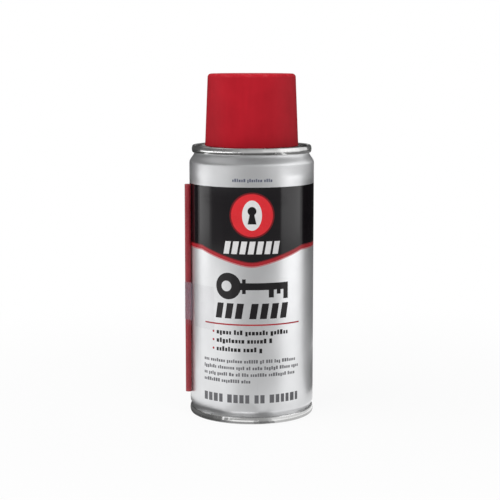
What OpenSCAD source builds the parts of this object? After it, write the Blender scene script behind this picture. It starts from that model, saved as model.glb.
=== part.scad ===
// Small aerosol can of lock lubricant: a welded tinplate body with a seamed dome and base, a one-inch
// valve with its cup, gaskets, stem, spring, housing and dip tube, a push button with a straw socket,
// a lift-off cap, and an extension straw held to the side by clear tape.
// Millimetres. The axis of the can is Z and the origin is the middle of the ring it stands on.

/* [Can body] */
// Outside diameter of the straight wall
can_d = 45.2; // [44:0.1:50]
// Height from the table to the top of the upper seam
can_h = 98.4; // [80:0.2:140]
// Thickness of the tinplate in the body, dome and base
plate = 0.2; // [0.16:0.01:0.24]
// How far the upper seam sits in from the wall
top_neck_in = 1.05; // [0.6:0.05:1.4]
// Height of the shoulder under the upper seam
top_neck_h = 3.6; // [2.8:0.1:8]
// How far the lower seam sits in from the wall
foot_neck_in = 0.05; // [0.05:0.05:0.8]
// Height of the shoulder above the lower seam
foot_neck_h = 2.2; // [1.5:0.1:5]
// Width of the lapped side weld at the back
weld_w = 0.9; // [0.5:0.1:2]
// How far the side weld stands out of the wall
weld_proud = 0.06; // [0.03:0.01:0.1]

/* [Seams] */
// Height of the upper double seam
top_seam_h = 2.6; // [2.5:0.1:3.4]
// Height of the lower double seam
foot_seam_h = 2.6; // [2.5:0.1:3.4]
// Lean of a seam's crowned outside where it meets the bends, in degrees
seam_lean = 20; // [8:1:24]
// Flat land on the crest of a seam
crest_flat = 0.2; // [0.14:0.02:0.24]
// Thickness of the sealing compound under the crest
compound_t = 0.1; // [0.06:0.02:0.16]
// Width of the ring of sealing compound
compound_w = 0.26; // [0.2:0.02:0.3]

/* [Dome and base] */
// Depth of the channel inside the upper seam
channel_depth = 5; // [4.4:0.1:5.6]
// Bend radius at the bottom of the channel
channel_r = 0.8; // [0.5:0.1:1.2]
// Share of the dome's width that its steep part takes
dome_steep_share = 0.48; // [0.38:0.01:0.6]
// Diameter of the opening that takes the valve cup
opening_d = 25.4; // [25:0.1:25.8]
// Radius of the rolled curl round the opening
curl_r = 1.25; // [1.1:0.05:1.4]
// Height of the middle of the curl above the upper seam
curl_up = 0.8; // [0.6:0.1:2]
// Height of the dome's straight throat under the middle of the curl
throat_h = 1.5; // [1.3:0.1:1.8]
// Depth of the recess wall inside the lower seam
base_depth = 4.2; // [3.6:0.1:6]
// How far the base domes up into the can
base_rise = 4.2; // [3:0.1:7]

/* [Valve cup] */
// Thickness of the valve cup's plate
cup_plate = 0.28; // [0.24:0.01:0.32]
// Thickness of the gasket between the cup and the curl
cup_gasket_t = 0.2; // [0.15:0.01:0.3]
// Depth of the cup from its rim to its floor
cup_depth = 7; // [6.6:0.1:8]
// How far the crimp swells the cup's wall under the dome
crimp_out = 0.75; // [0.4:0.05:0.9]
// Diameter of the pedestal in the middle of the cup
pedestal_d = 10.4; // [10:0.1:11.4]
// Height of the pedestal above the cup's rim
pedestal_up = 1.4; // [0.8:0.1:2.4]
// How far the clinch bites into the pedestal's wall
clinch_in = 0.4; // [0.2:0.05:0.55]

/* [Valve] */
// Diameter of the stem
stem_d = 3.95; // [3.6:0.05:4.2]
// Diameter of the passage up the stem
stem_bore_d = 1.5; // [1:0.1:2]
// Diameter of the metering hole in the side of the stem
stem_hole_d = 0.5; // [0.3:0.05:0.8]
// Length of stem that stands above the pedestal
stem_up = 6.6; // [5:0.1:9]
// Travel of the stem when the button is pressed
stem_travel = 1.2; // [0.8:0.1:1.6]
// Diameter of the shoulder that seats under the gasket
shoulder_d = 6.2; // [5.8:0.1:6.4]
// Height of that shoulder
shoulder_h = 2.4; // [1.6:0.1:3]
// Diameter of the spigot that centres the spring
spigot_d = 3.2; // [2.6:0.1:3.4]
// Length of that spigot
spigot_h = 3.5; // [2:0.1:4.5]
// Thickness of the stem gasket
stem_gasket_t = 1; // [0.8:0.05:1.4]
// Diameter of the chamber in the valve housing
chamber_d = 6.8; // [6.6:0.1:7.2]
// Wall of the housing round the chamber
housing_wall = 0.8; // [0.6:0.05:1]
// Height of the lip that the clinch holds
lip_h = 2.2; // [1.6:0.1:2.6]
// Thickness of the housing's floor
housing_floor = 1.2; // [0.8:0.1:2]
// Diameter of the liquid hole through the housing's floor
inlet_d = 1.4; // [0.8:0.1:1.8]
// Diameter of the tail that takes the dip tube
tail_d = 3.3; // [2.8:0.1:3.6]
// Length of that tail
tail_h = 6; // [4:0.2:9]
// Diameter of the spring's wire
spring_wire = 0.5; // [0.4:0.05:0.6]
// Outside diameter of the spring
spring_d = 5.2; // [5:0.1:5.6]
// Length of the spring at rest
spring_h = 7; // [6.4:0.1:9]
// Turns of the spring
spring_turns = 6; // [4:1:8]
// Wall of the dip tube
dip_wall = 0.65; // [0.4:0.05:0.9]
// Radius of the dip tube's natural bend
dip_bend_r = 260; // [220:5:400]
// Clearance between the tip of the dip tube and the base
dip_tip_gap = 1.2; // [0.8:0.1:3]

/* [Mixing ball] */
// Diameter of the loose ball
ball_d = 6.35; // [4.5:0.05:8]
// Direction of the ball from the can's axis, in degrees from +X
ball_angle = 70; // [45:5:315]

/* [Button] */
// Diameter of the button at its skirt
button_d = 14.4; // [13.6:0.1:16]
// How much narrower the button is at its top
button_taper = 1.6; // [1:0.1:2.4]
// Height of the button
button_h = 13; // [12:0.1:15]
// Gap between the button's skirt and the pedestal at rest
button_gap = 0.6; // [0.4:0.1:1]
// Wall of the button's skirt
skirt_wall = 1.1; // [0.8:0.1:1.3]
// Radius of the hollow for the fingertip
finger_r = 13; // [11:0.5:18]
// Depth of that hollow
finger_depth = 1.5; // [0.8:0.1:2]
// Height of the nozzle above the stem's tip
nozzle_up = 2.5; // [2.3:0.1:2.8]
// Diameter of the passages in the button
passage_d = 1.2; // [0.8:0.1:1.6]
// Outside diameter of the nozzle insert
insert_d = 4.2; // [3.8:0.1:4.4]
// Length of the nozzle insert
insert_l = 4.5; // [4:0.1:5]
// Depth of the socket for the straw
socket_l = 3.7; // [3:0.1:3.8]
// Diameter of the spray orifice behind the socket
orifice_d = 0.5; // [0.3:0.05:0.9]
// How far the nozzle's flat face is set in from the skirt
face_in = 0.9; // [0.7:0.05:1.2]

/* [Cap] */
// Diameter of the cap at its rim
cap_d = 33.8; // [33.5:0.1:36]
// Diameter of the cap at its top
cap_top_d = 31.8; // [31.4:0.1:34]
// Height of the cap
cap_h = 25.9; // [24:0.1:34]
// Wall of the cap
cap_wall = 0.8; // [0.6:0.02:0.86]
// Thickness of the cap's top
cap_roof = 1; // [0.8:0.1:1.6]
// Radius of the cap's top edge
cap_edge_r = 1.3; // [0.8:0.1:1.6]
// How far the cap's rim hangs below the middle of the curl
cap_hang = 1.1; // [0.9:0.1:1.3]
// Height of the bead inside the cap's rim
cap_bead_h = 0.7; // [0.5:0.1:0.9]
// Ribs inside the cap that sit on the cup's rim
cap_ribs = 8; // [4:1:12]
// Thickness of those ribs
cap_rib_t = 0.8; // [0.6:0.1:1.2]
// How far those ribs reach in from the cap's wall
cap_rib_in = 1.6; // [1:0.1:2]
// Diameter of the gate mark on the cap's top
gate_d = 3; // [2:0.1:5]
// Depth of the gate mark
gate_depth = 0.25; // [0.15:0.05:0.4]

/* [Straw and tape] */
// Outside diameter of the straw
straw_d = 2.25; // [2:0.05:2.6]
// Bore of the straw
straw_bore_d = 1.3; // [0.8:0.05:1.5]
// Length of the straw
straw_l = 76.2; // [60:0.2:86]
// Height of the straw's lower end above the table
straw_up = 8.4; // [6:0.1:12]
// Direction of the straw from the can's axis, in degrees from +X
straw_angle = 194.5; // [180:0.5:220]
// Width of the tape
tape_w = 15.6; // [10:0.1:25]
// Height of the tape's lower edge above the table
tape_up = 33.5; // [20:0.1:45]
// Thickness of the tape
tape_t = 0.08; // [0.06:0.01:0.12]
// Length of tape stuck to the can on each side of the straw
tape_stuck_l = 12; // [8:0.5:20]
// Distance from the straw's middle to where the tape meets the can
tape_tent_l = 3.6; // [3:0.1:5]

/* [Hidden] */
// Clearance between folded layers of sheet, and between pieces that are pressed or clinched together
fold_gap = 0.04;
// Radial clearance of sliding and push fits
fit = 0.02;
// Gap between faces that rest on each other
seat = 0.02;
// Clearance round the cap's skirt and the straw
slip = 0.06;
// How far a cutting solid runs past the face that it cuts
over = 1;
// Steps of the arcs in a quarter turn
quarter = 6;
// Flat turns at each end of the spring, the gap between them, and the rings of points in one turn
spring_end_turns = 0.8;
spring_lay_gap = 0.08;
spring_turn_rings = 14;
$fn = 96;

can_r = can_d / 2;
top_seam_r = can_r - top_neck_in;
foot_seam_r = can_r - foot_neck_in;
fold = plate + fold_gap;
crest_r = 2 * fold - crest_flat / 2;
bead_r = opening_d / 2 + plate / 2 + curl_r;
curl_z = can_h + curl_up;
flange_r = curl_r + plate / 2 + cup_gasket_t + cup_plate / 2;
cup_wall_r = bead_r - flange_r;
cup_top = curl_z + flange_r + cup_plate / 2;
cup_floor = cup_top - cup_depth;
pedestal_r = pedestal_d / 2;
pedestal_top = cup_top + pedestal_up;
gasket_z = pedestal_top - cup_plate - seat - stem_gasket_t;
housing_top = gasket_z - seat;
shoulder_top = gasket_z - seat;
shoulder_bottom = shoulder_top - shoulder_h;
chamber_floor = shoulder_bottom - spring_h - 2 * seat;
housing_bottom = chamber_floor - housing_floor;
stem_top = pedestal_top + stem_up;
button_bottom = pedestal_top + button_gap;
button_top = button_bottom + button_h;
nozzle_z = stem_top + nozzle_up;
face_y = -(button_d / 2 - face_in);
cap_bottom = curl_z - cap_hang;
cap_top = cap_bottom + cap_h;
straw_r = can_r + slip + straw_d / 2;

// Points of a circular arc, in equal steps
function arc(centre, r, from, to, steps) =
    [for (i = [0:steps]) centre + r * [cos(from + (to - from) * i / steps), sin(from + (to - from) * i / steps)]];

// Points of a curve from a to c that leaves and arrives along the lines to b, without its first point
function curve(a, b, c, steps) =
    [for (i = [1:steps]) let (t = i / steps) (1 - t) * (1 - t) * a + 2 * t * (1 - t) * b + t * t * c];

function unit(v) = v / norm(v);
function left_of(a, b) = let (d = unit(b - a)) [-d[1], d[0]];
function reversed(list) = [for (i = [len(list) - 1:-1:0]) list[i]];
function last(list) = list[len(list) - 1];
function but_last(list) = [for (i = [0:len(list) - 2]) list[i]];
function flipped(path) = [for (p = path) [p[0], -p[1]]];
function raised(path, z) = [for (p = path) p + [0, z]];

// The path moved sideways by d, with mitred corners
function beside(path, d) = [
    for (i = [0:len(path) - 1])
        let (
            before = left_of(path[max(i - 1, 0)], path[max(i, 1)]),
            after = left_of(path[min(i, len(path) - 2)], path[min(i + 1, len(path) - 1)]),
            mitre = unit(before + after)
        )
        path[i] + mitre * d / (mitre * before)
];

// The outline of a sheet of thickness t whose middle follows the path
function sheet(path, t) = concat(beside(path, t / 2), reversed(beside(path, -t / 2)));

// Radius to the middle of a layer of the seam, counted from the outside
function layer_r(seam_r, n) = seam_r - plate / 2 - n * fold;

// Heights below a seam's crest: of the centre of its upper bends, and of its lower fold
crest_z = -plate / 2 - crest_r;
function hook_z(seam_h) = -seam_h + plate / 2 + fold;

// The edge of an end, from the tip of its hook, round the outside of the seam, to the inner wall
function end_edge(seam_r, seam_h) =
    let (
        hook = arc([layer_r(seam_r, 1), hook_z(seam_h)], fold, 180, 360 - seam_lean, 2 * quarter),
        crest = arc([layer_r(seam_r, 2) + crest_flat / 2, crest_z], crest_r, seam_lean, 90, quarter),
        swell = [norm(crest[0] - last(hook)) / 2 * tan(seam_lean), 0],
        crown = curve(last(hook), (last(hook) + crest[0]) / 2 + swell, crest[0], quarter + 2)
    )
    concat(
        [[layer_r(seam_r, 2), crest_z - compound_t - fold_gap]],
        hook,
        but_last(crown),
        crest,
        arc([layer_r(seam_r, 2) - crest_flat / 2, crest_z], crest_r, 90, 180, quarter)
    );

// The edge of the body, from its wall, over the hook of the end, to the tip of its own hook
function body_edge(seam_r, seam_h) = concat(
    arc([layer_r(seam_r, 2) - crest_flat / 2, crest_z - compound_t], crest_r - fold, 180, 90, quarter),
    arc([layer_r(seam_r, 2) + crest_flat / 2, crest_z - compound_t], crest_r - fold, 90, 0, quarter),
    [[layer_r(seam_r, 1), hook_z(seam_h) + fold_gap]]
);

// A shoulder that eases from one radius to another over a height
function shoulder(from_r, from_z, to_r, to_z, steps) = [
    for (i = [0:steps])
        let (t = i / steps, s = t * t * (3 - 2 * t))
        [from_r + (to_r - from_r) * s, from_z + (to_z - from_z) * t]
];

// A smooth swelling of depth d in a wall of radius r, from one height to another
function swelling(r, d, from_z, to_z, steps) =
    [for (i = [0:steps]) [r + d * (1 - cos(360 * i / steps)) / 2, from_z + (to_z - from_z) * i / steps]];

// A body turned from an outline that may end on the axis
module revolve(outline) {
    rotate_extrude() polygon([for (p = outline) [max(p[0], 0), p[1]]]);
}

// Body
module side_weld() {
    weld_angle = weld_w / can_r * 180 / PI;
    rotate([0, 0, 90 - weld_angle / 2])
        rotate_extrude(angle = weld_angle)
            translate([can_r - plate / 2, foot_seam_h + foot_neck_h])
                square([plate / 2 + weld_proud, can_h - top_seam_h - foot_seam_h - top_neck_h - foot_neck_h]);
}

module can_body() {
    middle_r = can_r - plate / 2;
    top_neck_z = can_h - top_seam_h;
    foot_neck_z = foot_seam_h;
    color("gainsboro") {
        union() {
            revolve(sheet(concat(
                reversed(flipped(body_edge(foot_seam_r, foot_seam_h))),
                shoulder(layer_r(foot_seam_r, 3), foot_neck_z, middle_r, foot_neck_z + foot_neck_h, 2 * quarter),
                shoulder(middle_r, top_neck_z - top_neck_h, layer_r(top_seam_r, 3), top_neck_z, 2 * quarter),
                raised(body_edge(top_seam_r, top_seam_h), can_h)
            ), plate));
            side_weld();
        }
    }
}

// Dome
module top_dome() {
    channel_centre = [layer_r(top_seam_r, 4) - channel_r, can_h - channel_depth + channel_r + plate / 2];
    throat_r = opening_d / 2 + plate / 2;
    throat_z = curl_z - throat_h;
    knee = [throat_r, throat_z - throat_h / 2];
    shelf = knee + [throat_h, 0];
    bend = shelf + [(1 - dome_steep_share) * (channel_centre[0] - shelf[0]), 0];
    // Steepness of the line from the bend that touches the channel's round
    reach = channel_centre - bend;
    dome_slope = asin(channel_r / norm(reach)) - atan2(reach[1], reach[0]);
    channel = arc(channel_centre, channel_r, 0, -90 - dome_slope, 2 * quarter);
    rise = curve(last(channel), bend, shelf, quarter);
    color("silver")
        revolve(sheet(concat(
            raised(end_edge(top_seam_r, top_seam_h), can_h),
            channel,
            rise,
            curve(last(rise), knee, [throat_r, throat_z + throat_h / 2], quarter),
            arc([bead_r, curl_z], curl_r, 180, -120, 4 * quarter)
        ), plate));
}

// Base: the bend above its recess wall, and the height of its dome at a radius
base_rim = [layer_r(foot_seam_r, 4) - channel_r, base_depth + plate / 2 - channel_r];
base_bend = arc(base_rim, channel_r, 0, 90 - atan(2 * base_rise / base_rim[0]), quarter);
base_edge = last(base_bend);
function base_z(r) = base_edge[1] + base_rise * (1 - (r / base_edge[0]) ^ 2);
function base_lean(r) = atan(2 * base_rise * r / base_edge[0] ^ 2);

module bottom_end() {
    color("silver")
        revolve(sheet(concat(
            flipped(end_edge(foot_seam_r, foot_seam_h)),
            base_bend,
            [for (i = [2 * quarter - 1:-1:0]) let (r = base_edge[0] * i / (2 * quarter)) [r, base_z(r)]]
        ), plate));
}

// Mixing ball, at rest in the trough between the base and the wall
module mixing_ball() {
    ball_r = ball_d / 2;
    out = can_r - plate - seat - ball_r;
    touch_r = out - ball_r * sin(base_lean(out - ball_r * sin(base_lean(out))));
    lean = base_lean(touch_r);
    up = base_z(touch_r) + plate / 2 / cos(lean) + ball_r * cos(lean) + seat;
    color("lightsteelblue")
        rotate([0, 0, ball_angle])
            translate([out, 0, up]) sphere(d = ball_d);
}

// Sealing compound, a thin ring under the crest of each seam
module seam_compound(seam_r) {
    room = compound_t + fold_gap;
    color("dimgray")
        rotate_extrude()
            translate([layer_r(seam_r, 2) - compound_w / 2, -plate - (room + compound_t - fold_gap) / 2])
                square([compound_w, compound_t - fold_gap]);
}

module top_seam_compound() {
    translate([0, 0, can_h]) seam_compound(top_seam_r);
}

module bottom_seam_compound() {
    mirror([0, 0, 1]) seam_compound(foot_seam_r);
}

// Valve cup, with its flange rolled over the curl, its crimp and its pedestal
module mounting_cup() {
    floor_z = cup_floor + cup_plate / 2;
    wall_r = pedestal_r - cup_plate / 2;
    roof_z = pedestal_top - cup_plate / 2;
    crimp_top = curl_z - throat_h;
    clinch_top = housing_top - lip_h - cup_plate;
    bend_r = 3 * cup_plate;
    color("lightgray")
        revolve(sheet(concat(
            arc([bead_r, curl_z], flange_r, -25, 180, 3 * quarter),
            swelling(cup_wall_r, crimp_out, crimp_top, crimp_top - 3 * crimp_out, 2 * quarter),
            arc([cup_wall_r - bend_r, floor_z + bend_r], bend_r, 0, -90, quarter),
            arc([wall_r + bend_r, floor_z + bend_r], bend_r, 270, 180, quarter),
            swelling(wall_r, -clinch_in, clinch_top - 3 * clinch_in, clinch_top, 2 * quarter),
            arc([wall_r - cup_plate, roof_z - cup_plate], cup_plate, 0, 90, quarter),
            [[stem_d / 2 + 4 * slip, roof_z]]
        ), cup_plate));
}

// Gasket between the cup's flange and the curl
module cup_gasket() {
    color("dimgray")
        revolve(sheet(
            arc([bead_r, curl_z], curl_r + (plate + cup_gasket_t) / 2, 35, 150, 2 * quarter),
            cup_gasket_t - 2 * seat
        ));
}

// Stem gasket
module stem_gasket() {
    color("black")
        translate([0, 0, gasket_z])
            difference() {
                cylinder(r = pedestal_r - cup_plate - 2 * fold_gap, h = stem_gasket_t);
                translate([0, 0, -over]) cylinder(r = stem_d / 2 + fit, h = stem_gasket_t + 2 * over);
            }
}

// Housing that the pedestal clinches, with the spring chamber and the tail for the dip tube
module valve_housing() {
    lip_r = pedestal_r - cup_plate - fold_gap;
    body_r = chamber_d / 2 + housing_wall;
    tail_end = housing_bottom - tail_h;
    barb = tail_d / 8;
    color("ivory")
        difference() {
            union() {
                revolve([
                    [0, housing_top], [lip_r, housing_top], [lip_r, housing_top - lip_h],
                    [body_r, housing_top - lip_h], [body_r, housing_bottom + housing_wall],
                    [body_r - housing_wall, housing_bottom], [0, housing_bottom]
                ]);
                revolve([
                    [0, housing_bottom + over], [tail_d / 2, housing_bottom + over], [tail_d / 2, tail_end + 2 * barb],
                    [tail_d / 2 - barb, tail_end], [0, tail_end]
                ]);
            }
            translate([0, 0, chamber_floor]) cylinder(d = chamber_d, h = housing_top - chamber_floor + over);
            translate([0, 0, tail_end - over]) cylinder(d = inlet_d, h = chamber_floor - tail_end + 2 * over);
        }
}

// Points of one ring of wire round a point of the spring
function wire_ring(centre, along, r, sides) =
    let (out = unit([centre[0], centre[1], 0]), up = cross(along, out))
    [for (k = [0:sides - 1]) centre + r * (cos(360 * k / sides) * out + sin(360 * k / sides) * up)];

// Share of the spring's height that is reached at a share u of its turns: the end turns lie flat
spring_rise = spring_h - spring_wire;
flat_turn_share = spring_end_turns / spring_turns;
flat_rise_share = spring_end_turns * (spring_wire + spring_lay_gap) / spring_rise;
function spring_climb(u) =
    u < flat_turn_share ? flat_rise_share * u / flat_turn_share
    : u > 1 - flat_turn_share ? 1 - flat_rise_share * (1 - u) / flat_turn_share
    : flat_rise_share + (1 - 2 * flat_rise_share) * (u - flat_turn_share) / (1 - 2 * flat_turn_share);

function spring_point(u) = [
    (spring_d - spring_wire) / 2 * cos(360 * spring_turns * u),
    (spring_d - spring_wire) / 2 * sin(360 * spring_turns * u),
    chamber_floor + seat + spring_wire / 2 + spring_rise * spring_climb(u)
];

// Valve spring, one unbroken wire
module valve_spring() {
    sides = 8;
    steps = spring_turn_rings * spring_turns;
    centres = [for (i = [0:steps]) spring_point(i / steps)];
    rings = [
        for (i = [0:steps])
            wire_ring(centres[i], unit(centres[min(i + 1, steps)] - centres[max(i - 1, 0)]), spring_wire / 2, sides)
    ];
    wall = [
        for (i = [0:steps - 1], k = [0:sides - 1])
            let (a = i * sides + k, b = i * sides + (k + 1) % sides)
            each [[a, b, a + sides], [b, b + sides, a + sides]]
    ];
    first_end = [for (k = [1:sides - 2]) [0, k + 1, k]];
    far = steps * sides;
    far_end = [for (k = [1:sides - 2]) [far, far + k, far + k + 1]];
    color("slategray")
        polyhedron(points = [for (ring = rings, p = ring) p], faces = concat(wall, first_end, far_end));
}

// Dip tube, straight over the tail and then curved towards the rim of the base
dip_r = tail_d / 2 + fit + dip_wall;

module dip_tube() {
    top_z = housing_bottom - seat;
    straight_end = housing_bottom - tail_h - over;
    lowest = base_depth + base_rise + dip_tip_gap;
    reach_angle = asin((straight_end - lowest) / dip_bend_r);
    color("whitesmoke") {
        union() {
            translate([0, 0, straight_end])
                difference() {
                    cylinder(r = dip_r, h = top_z - straight_end);
                    translate([0, 0, -over])
                        cylinder(r = dip_r - dip_wall, h = top_z - straight_end + 2 * over);
                }
            translate([dip_bend_r, 0, straight_end])
                rotate([-90, 0, 180])
                    rotate_extrude(angle = reach_angle, $fn = 360)
                        translate([dip_bend_r, 0])
                            difference() {
                                circle(r = dip_r);
                                circle(r = dip_r - dip_wall);
                            }
        }
    }
}

// Stem, with its side hole at the gasket, the shoulder under it and the spigot in the spring
module valve_stem() {
    edge = stem_d / 12;
    color("white")
        difference() {
            revolve([
                [0, stem_top], [stem_d / 2 - edge, stem_top], [stem_d / 2, stem_top - edge],
                [stem_d / 2, shoulder_top], [shoulder_d / 2, shoulder_top],
                [shoulder_d / 2, shoulder_bottom], [spigot_d / 2, shoulder_bottom],
                [spigot_d / 2, shoulder_bottom - spigot_h + edge],
                [spigot_d / 2 - edge, shoulder_bottom - spigot_h], [0, shoulder_bottom - spigot_h]
            ]);
            translate([0, 0, gasket_z])
                cylinder(d = stem_bore_d, h = stem_top - gasket_z + over);
            translate([0, 0, gasket_z + stem_gasket_t / 2])
                rotate([0, 90, 0]) cylinder(d = stem_hole_d, h = stem_d / 2 + over);
        }
}

// Push button with a hollow skirt, a stem socket, a fingertip hollow and a seat for the nozzle insert
module spray_button() {
    hollow_top = pedestal_top + stem_travel + button_gap;
    edge = button_taper / 2;
    top_r = button_d / 2 - edge;
    finger_lean = 12;
    color("white")
        difference() {
            revolve(concat(
                [[0, button_bottom], [button_d / 2, button_bottom], [button_d / 2, button_bottom + 3 * edge]],
                arc([top_r - edge, button_top - edge], edge, 0, 90, quarter),
                [[0, button_top]]
            ));
            translate([0, 0, button_bottom - over])
                cylinder(r = button_d / 2 - skirt_wall, h = hollow_top - button_bottom + over);
            translate([0, 0, button_bottom])
                cylinder(r = stem_d / 2 + fit, h = stem_top + seat - button_bottom);
            translate([0, 0, stem_top - over]) cylinder(d = passage_d, h = nozzle_up + over);
            translate([0, face_y + insert_l + seat, nozzle_z])
                rotate([90, 0, 0]) cylinder(r = insert_d / 2 + fit, h = insert_l + over);
            translate([0, 0, nozzle_z])
                rotate([90, 0, 0]) cylinder(d = passage_d, h = -face_y);
            translate([-button_d, face_y - button_d, button_bottom + 3 * edge])
                cube([2 * button_d, button_d, button_h]);
            translate([0, 0, button_top])
                rotate([finger_lean, 0, 0])
                    translate([-button_d, 0, finger_r - finger_depth])
                        rotate([0, 90, 0]) cylinder(r = finger_r, h = 2 * button_d);
        }
}

// Nozzle insert: the socket that takes the straw, with the spray orifice behind it
module nozzle_insert() {
    mouth = straw_d / 10;
    color("dimgray")
        translate([0, face_y + insert_l, nozzle_z])
            rotate([90, 0, 0])
                difference() {
                    cylinder(d = insert_d, h = insert_l);
                    translate([0, 0, insert_l - socket_l]) cylinder(r = straw_d / 2 + fit, h = socket_l + over);
                    translate([0, 0, insert_l - mouth])
                        cylinder(r1 = straw_d / 2 + fit, r2 = straw_d / 2 + fit + 2 * mouth, h = 2 * mouth);
                    translate([0, 0, -over]) cylinder(d = orifice_d, h = insert_l + over);
                }
}

// Cap, with a snap bead, and ribs that sit on the cup's rim
module cap() {
    bead_out = bead_r + flange_r + cup_plate / 2 + slip;
    inner_r = cap_d / 2 - cap_wall;
    inner_top_r = cap_top_d / 2 - cap_wall;
    roof_z = cap_top - cap_roof;
    inner_edge = cap_edge_r - cap_wall / 2;
    rim_edge = cap_wall / 4;
    rib_foot = cup_top + seat;
    color("firebrick")
        difference() {
            union() {
                revolve(concat(
                    [
                        [bead_out, cap_bottom + rim_edge], [bead_out + rim_edge, cap_bottom],
                        [cap_d / 2 - rim_edge, cap_bottom], [cap_d / 2, cap_bottom + rim_edge]
                    ],
                    arc([cap_top_d / 2 - cap_edge_r, cap_top - cap_edge_r], cap_edge_r, 0, 90, 2 * quarter),
                    [[0, cap_top], [0, roof_z]],
                    arc([inner_top_r - inner_edge, roof_z - inner_edge], inner_edge, 90, 0, quarter),
                    [[inner_r, cap_bottom + 2 * cap_bead_h], [bead_out, cap_bottom + cap_bead_h]]
                ));
                intersection() {
                    for (i = [0:cap_ribs - 1])
                        rotate([0, 0, 360 * (i + 0.5) / cap_ribs])
                            translate([inner_top_r - cap_rib_in, -cap_rib_t / 2, rib_foot])
                                cube([
                                    cap_rib_in + inner_r - inner_top_r + cap_wall, cap_rib_t,
                                    roof_z - rib_foot + cap_roof / 2
                                ]);
                    revolve([
                        [0, cap_bottom], [inner_r + cap_wall / 2, cap_bottom],
                        [inner_top_r + cap_wall / 2, cap_top - cap_edge_r],
                        [inner_top_r - cap_edge_r / 2, cap_top - cap_roof / 2], [0, cap_top - cap_roof / 2]
                    ]);
                }
            }
            translate([0, 0, cap_top - gate_depth]) cylinder(d = gate_d, h = gate_depth + over);
        }
}

// Turns a piece from the +X side to the straw's place round the can
module at_straw() {
    rotate([0, 0, straw_angle]) children();
}

// Extension straw
module straw() {
    color("crimson")
        at_straw()
            translate([straw_r, 0, straw_up])
                difference() {
                    cylinder(d = straw_d, h = straw_l);
                    translate([0, 0, -over]) cylinder(d = straw_bore_d, h = straw_l + 2 * over);
                }
}

// Clear tape over the straw, stuck to the can on both sides
module straw_tape() {
    stuck_r = can_r + fold_gap + tape_t / 2;
    over_r = straw_d / 2 + slip + tape_t / 2;
    tent_angle = tape_tent_l / can_r * 180 / PI;
    end_angle = tent_angle + tape_stuck_l / can_r * 180 / PI;
    foot = stuck_r * [cos(tent_angle), sin(tent_angle)];
    // Direction from the straw's middle to where the straight part of the tape touches it
    reach = foot - [straw_r, 0];
    touch = atan2(reach[1], reach[0]) - acos(over_r / norm(reach));
    half = concat(
        arc([0, 0], stuck_r, end_angle, tent_angle, 2 * quarter),
        arc([straw_r, 0], over_r, touch, 0, 2 * quarter)
    );
    mirrored = [for (i = [len(half) - 2:-1:0]) [half[i][0], -half[i][1]]];
    color("lightcyan")
        at_straw()
            translate([0, 0, tape_up])
                linear_extrude(tape_w)
                    polygon(sheet(concat(half, mirrored), tape_t));
}

can_body();
top_dome();
bottom_end();
top_seam_compound();
bottom_seam_compound();
mounting_cup();
cup_gasket();
stem_gasket();
valve_housing();
valve_spring();
dip_tube();
mixing_ball();
valve_stem();
spray_button();
nozzle_insert();
cap();
straw();
straw_tape();
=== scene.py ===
"""The looks of a small aerosol can of lock lubricant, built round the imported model."""

import math

import bpy
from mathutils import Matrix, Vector, geometry

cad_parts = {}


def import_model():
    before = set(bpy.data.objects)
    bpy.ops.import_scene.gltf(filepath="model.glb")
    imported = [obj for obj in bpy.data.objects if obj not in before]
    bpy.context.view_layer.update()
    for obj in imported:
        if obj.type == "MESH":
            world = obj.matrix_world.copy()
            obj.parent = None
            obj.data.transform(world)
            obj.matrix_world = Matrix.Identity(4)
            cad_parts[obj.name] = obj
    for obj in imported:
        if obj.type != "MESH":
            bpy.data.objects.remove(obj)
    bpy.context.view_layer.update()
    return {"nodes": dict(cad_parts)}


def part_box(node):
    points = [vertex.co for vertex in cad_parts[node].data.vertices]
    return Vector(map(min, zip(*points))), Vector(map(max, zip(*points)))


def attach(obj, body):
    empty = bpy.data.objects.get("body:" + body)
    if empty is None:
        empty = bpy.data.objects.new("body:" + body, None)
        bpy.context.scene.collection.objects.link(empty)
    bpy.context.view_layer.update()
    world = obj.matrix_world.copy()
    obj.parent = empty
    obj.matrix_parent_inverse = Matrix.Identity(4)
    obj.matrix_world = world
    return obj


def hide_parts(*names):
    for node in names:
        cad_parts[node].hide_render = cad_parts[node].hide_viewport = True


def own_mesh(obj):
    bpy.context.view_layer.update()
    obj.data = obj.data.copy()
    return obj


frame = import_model()
nodes = frame["nodes"]

MM = 0.001
WHITE = (1.0, 1.0, 1.0)


def new_object(name, data):
    """A new object, linked to the scene."""
    obj = bpy.data.objects.new(name, data)
    bpy.context.scene.collection.objects.link(obj)
    return obj


def new_mesh(name, points, faces, materials):
    """A new mesh object, linked to the scene."""
    mesh = bpy.data.meshes.new(name)
    mesh.from_pydata(points, [], faces)
    for material in materials:
        mesh.materials.append(material)
    return new_object(name, mesh)


# ---------------------------------------------------------------- camera

CAMERA_LENS = 100.5
CAMERA_SENSOR = 36.0
CAMERA_CLIP = (0.02, 20.0)
CAMERA_DISTANCE = 0.5067
CAMERA_HEIGHT = 0.1305
CAMERA_PITCH = 7.943
CAMERA_ASIDE = -0.0006


def make_camera():
    """Looks along +Y and a little down, as the photograph does."""
    data = bpy.data.cameras.new("camera")
    data.lens = CAMERA_LENS
    data.sensor_width = CAMERA_SENSOR
    data.clip_start, data.clip_end = CAMERA_CLIP
    camera = new_object("camera", data)
    camera.location = (CAMERA_ASIDE, -CAMERA_DISTANCE, CAMERA_HEIGHT)
    camera.rotation_euler = (math.radians(90.0 - CAMERA_PITCH), 0.0, 0.0)
    bpy.context.scene.camera = camera


make_camera()

# ---------------------------------------------------------------- node helpers

NOISE_MIDDLE = (0.3, 0.7)


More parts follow.
